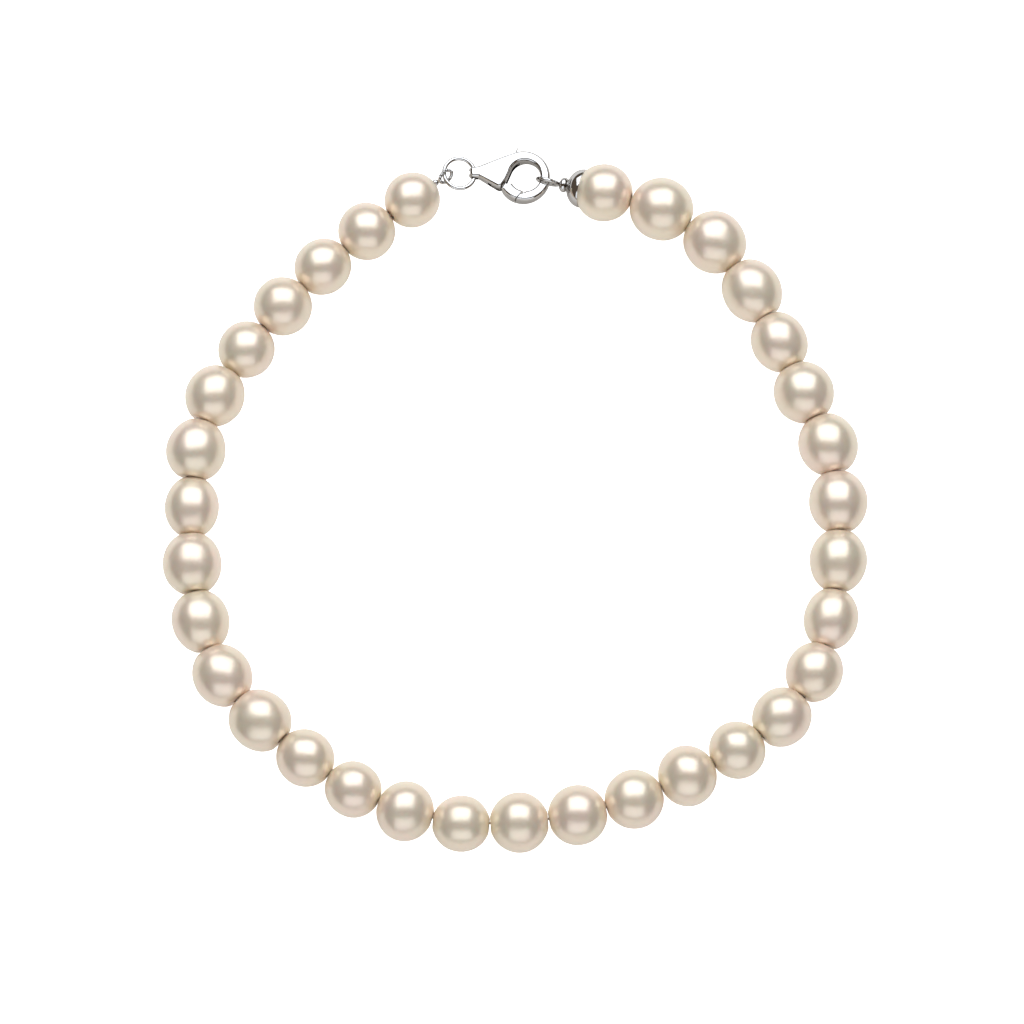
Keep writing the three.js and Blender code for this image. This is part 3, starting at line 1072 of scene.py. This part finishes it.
def hook_circles(count, start, end):
    """The hook's outer and inner circles over the same angles."""
    outer = arc_points(count, (0, 0), (HOOK_RADIUS, HOOK_RADIUS), start, end)
    inner = arc_points(count, (HOLE_SHIFT, 0), (HOLE_RADIUS, HOLE_RADIUS), start, end)
    return [Vector(p) for p in outer], [Vector(p) for p in inner]


RIVET_PLACE = Matrix.Translation(PIVOT) @ Matrix.Rotation(90 * DEG, 4, "X")


def make_clasp_body():
    """The neck, the body with the lever's slot, and the hook, with the edge lines listed."""
    outer = spaced([(-5.5, 0.83), (-5.42, 1.0), (-5.25, 1.08), (-4.5, 1.18)], 12)
    inner = spaced([(-5.5, 0.27), (-5.42, 0.1), (-5.25, 0.02), (-4.5, -0.04)], 12)
    outer += spaced([(-4.5, 1.18), (-2.75, 1.801)], 18)[1:]
    inner += spaced([(-4.5, -0.04), (-2.75, -1.12)], 18)[1:]
    top = arc_points(6, (0, 0), (HOOK_RADIUS, HOOK_RADIUS), 112, 104)
    outer += spaced([(-2.75, 1.801), *top], 34)[1:]
    lobe = curved((-2.75, -1.12), (-2.25, -1.4), (-2.0, -0.95))
    hole = arc_points(120, (HOLE_SHIFT, 0), (HOLE_RADIUS, HOLE_RADIUS), 152, -86)
    inner += spaced([*lobe, (-1.7, -0.5), hole[0]], 34)[1:]
    outer += spaced(arc_points(120, (0, 0), (HOOK_RADIUS, HOOK_RADIUS), 104, -112), 110)[1:]
    inner += spaced(hole, 110)[1:]
    mesh = bar_between(outer, inner)
    slot = box_mesh((-3.6, -1.42, -SLOT_HALF_WIDTH), (-0.42, 4.6, SLOT_HALF_WIDTH))
    mesh = combined(mesh, softened(slot, 0.05, 2), "DIFFERENCE")
    eye = drill(NECK_HOLE_RADIUS, 1.5, Matrix.Translation((NECK_AT, 0.55, 0)))
    mesh = combined(mesh, eye, "DIFFERENCE")
    side = box_mesh((-1.5, -JOINT_GAP / 2, -2), (1.5, 3, 2), joint_place())
    low = box_mesh((-1.4, -3.05, -2), (0.2, -1.45, 2))
    mesh = combined(mesh, combined(side, low, "INTERSECT"), "DIFFERENCE")
    finish_piece("clasp_hook", mesh, CLASP_PLACE, SILVER, "clasp_body", "bracelet",
                 sharp=38)


def extruded(outline, half):
    """A flat plate with a given outline, from -half to half."""
    count = len(outline)
    points = [(x, y, -half) for x, y in outline] + [(x, y, half) for x, y in outline]
    faces = [tuple(range(count)), tuple(range(count, 2 * count))]
    for i in range(count):
        j = (i + 1) % count
        faces.append((i, j, count + j, count + i))
    return tidied(mesh_from(points, faces))


def make_lever():
    """A blade inside the slot, with its thumb tab, and the arm that closes the hook."""
    boss = arc_points(20, (PIVOT.x, PIVOT.y), (BOSS_RADIUS, BOSS_RADIUS), 150, 285)
    tab = curved((-0.62, 3.0), (-0.62, 3.35), (-1.0, 3.35))
    tab += curved((-1.0, 3.35), (-1.35, 3.3), (-1.55, 2.85))[1:]
    outline = [*boss, (-1.95, -1.35), (-1.35, -1.25), (-1.55, -0.85), (-2.2, -0.2),
               (-0.78, 2.45), *[tuple(p) for p in tab]]
    blade = softened(extruded(outline, BLADE_HALF_WIDTH), 0.07, 3, angle=50)
    arm = bar_between(*hook_circles(70, 170, 300))
    beyond = box_mesh((-4, -4, -2), (4, JOINT_GAP / 2, 2), joint_place())
    arm = combined(arm, beyond, "DIFFERENCE")
    root = Matrix.Translation((-1.75, -1.15, 0)) @ Matrix.Rotation(32 * DEG, 4, "Z")
    arm = combined(arm, box_mesh((-4, 0, -2), (4, 5, 2), root), "DIFFERENCE")
    mesh = combined(arm, blade, "UNION")
    mesh = combined(mesh, drill(RIVET_HOLE_RADIUS, 2, RIVET_PLACE), "DIFFERENCE")
    finish_piece("clasp_trigger", mesh, CLASP_PLACE, SILVER, "clasp_lever", "lever",
                 sharp=38)


def make_rivet():
    corner = (RIVET_RADIUS - RIVET_EDGE, RIVET_HALF_LENGTH - RIVET_EDGE)
    end = arc_points(6, corner, (RIVET_EDGE, RIVET_EDGE), 0, 90)
    start = [(r, -y) for r, y in reversed(end)]
    mesh = revolved([(0, -RIVET_HALF_LENGTH), *start, *end, (0, RIVET_HALF_LENGTH)], 32)
    mesh.transform(RIVET_PLACE)
    finish_piece("rivet", mesh, CLASP_PLACE, SILVER, "clasp_pin", "bracelet")


make_clasp_body()
make_lever()
make_rivet()

# ---------------------------------------------------------------- floor and light

TABLE_RINGS = (0.15, 1.5)
TABLE_DROP = 0.00002
TABLE_WHITE = (0.78, 0.755, 0.71, 1)
TABLE_DARK = (0.0, 0.0, 0.0, 1)
SOFTBOX_TINT = (0.86, 0.92, 1.0)
SOFTBOX_DISTANCE = 0.6
STUDIO_TINT = (1.0, 0.78, 0.60, 1)
STUDIO_GLOW = 0.11


def make_floor():
    rings = [[(r * math.cos(a * DEG), r * math.sin(a * DEG), 0) for a in range(0, 360, 5)]
             for r in TABLE_RINGS]
    points = [p for ring in rings for p in ring]
    size = len(rings[0])
    faces = [tuple(range(size))]
    for j in range(size):
        k = (j + 1) % size
        faces.append((j, k, size + k, size + j))
    floor = bpy.data.objects.new("light_table", tidied(mesh_from(points, faces)))
    if floor.data.polygons[0].normal.z < 0:
        floor.data.flip_normals()
    floor.location.z = -TABLE_DROP
    bpy.context.collection.objects.link(floor)
    material, tree, shader = new_material("white table")
    # Bright round the bracelet and dark beyond it, though it reads as white to the eye.
    place = object_place(tree)
    away = put(tree, "ShaderNodeVectorMath", {0: place}, operation="LENGTH").outputs["Value"]
    near = ranged(tree, away, 0.05, 0.22, 1.0, 0.08)
    tree.links.new(mixed(tree, near, TABLE_DARK, TABLE_WHITE), shader.inputs["Base Color"])
    seen = put(tree, "ShaderNodeLightPath").outputs["Is Camera Ray"]
    glow = maths(tree, "MULTIPLY_ADD", seen, 0.95, maths(tree, "MULTIPLY", near, 0.25))
    tree.links.new(glow, shader.inputs["Emission Strength"])
    set_plain(shader, {"Roughness": 0.8, "Emission Color": (1, 1, 1, 1)})
    floor.data.materials.append(material)


def make_softbox(name, lean, width, height, power):
    """A soft rectangle of light over the bracelet, leaning back by some degrees from overhead."""
    data = bpy.data.lights.new(name, "AREA")
    data.shape = "RECTANGLE"
    data.size = width
    data.size_y = height
    data.energy = power
    data.color = SOFTBOX_TINT
    lamp = bpy.data.objects.new(name, data)
    aim = Vector((0, math.sin(lean * DEG), math.cos(lean * DEG)))
    lamp.location = aim * SOFTBOX_DISTANCE
    lamp.rotation_euler = aim.to_track_quat("Z", "Y").to_euler()
    lamp.visible_camera = False
    bpy.context.collection.objects.link(lamp)


def make_world():
    world = bpy.data.worlds.new("studio")
    world.use_nodes = True
    background = world.node_tree.nodes["Background"]
    background.inputs["Color"].default_value = STUDIO_TINT
    background.inputs["Strength"].default_value = STUDIO_GLOW
    bpy.context.scene.world = world


make_floor()
make_softbox("back_softbox", 35, 0.88, 0.66, 5.0)
make_softbox("front_softbox", -60, 0.85, 0.5, 1.75)
make_world()
bpy.context.scene.view_settings.view_transform = "Standard"
bpy.context.scene.view_settings.look = "None"
